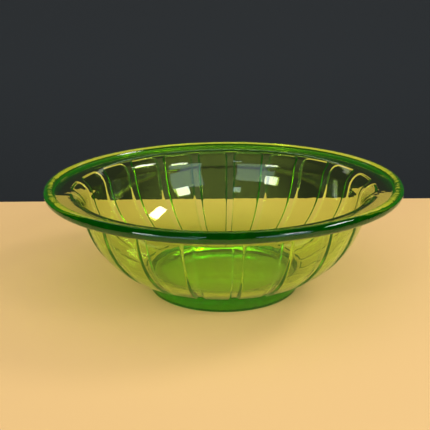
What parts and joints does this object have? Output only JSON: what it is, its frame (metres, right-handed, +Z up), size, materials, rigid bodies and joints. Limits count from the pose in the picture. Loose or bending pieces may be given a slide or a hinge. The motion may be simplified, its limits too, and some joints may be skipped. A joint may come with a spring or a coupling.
{
  "type": "pressed glass bowl",
  "caption": "Round footed bowl in green pressed glass, with a heavy rim bead, a flared plain lip and tall raised panels round a curved wall.",
  "frame": {"origin": "centre of the foot ring's resting plane", "axes": "+Z up along the bowl's axis, towards the mouth; the plain strip between the first and the last panel is centred on +Y"},
  "size_m": [0.216, 0.216, 0.069],
  "materials": {
    "green_glass": "clear, fire-polished, yellow-green"
  },
  "bodies": {
    "root": {"rim_bead": "green_glass", "flared_lip": "green_glass", "upper_wall": "green_glass", "lower_wall": "green_glass", "base_disc": "green_glass", "foot_ring": "green_glass", "raised_panel_01": "green_glass", "raised_panel_02": "green_glass", "raised_panel_03": "green_glass", "raised_panel_04": "green_glass", "raised_panel_05": "green_glass", "raised_panel_06": "green_glass", "raised_panel_07": "green_glass", "raised_panel_08": "green_glass", "raised_panel_09": "green_glass", "raised_panel_10": "green_glass", "raised_panel_11": "green_glass", "raised_panel_12": "green_glass", "raised_panel_13": "green_glass", "raised_panel_14": "green_glass", "raised_panel_15": "green_glass", "raised_panel_16": "green_glass", "raised_panel_17": "green_glass", "raised_panel_18": "green_glass", "raised_panel_19": "green_glass", "raised_panel_20": "green_glass", "raised_panel_21": "green_glass"}
  },
  "joints": []
}
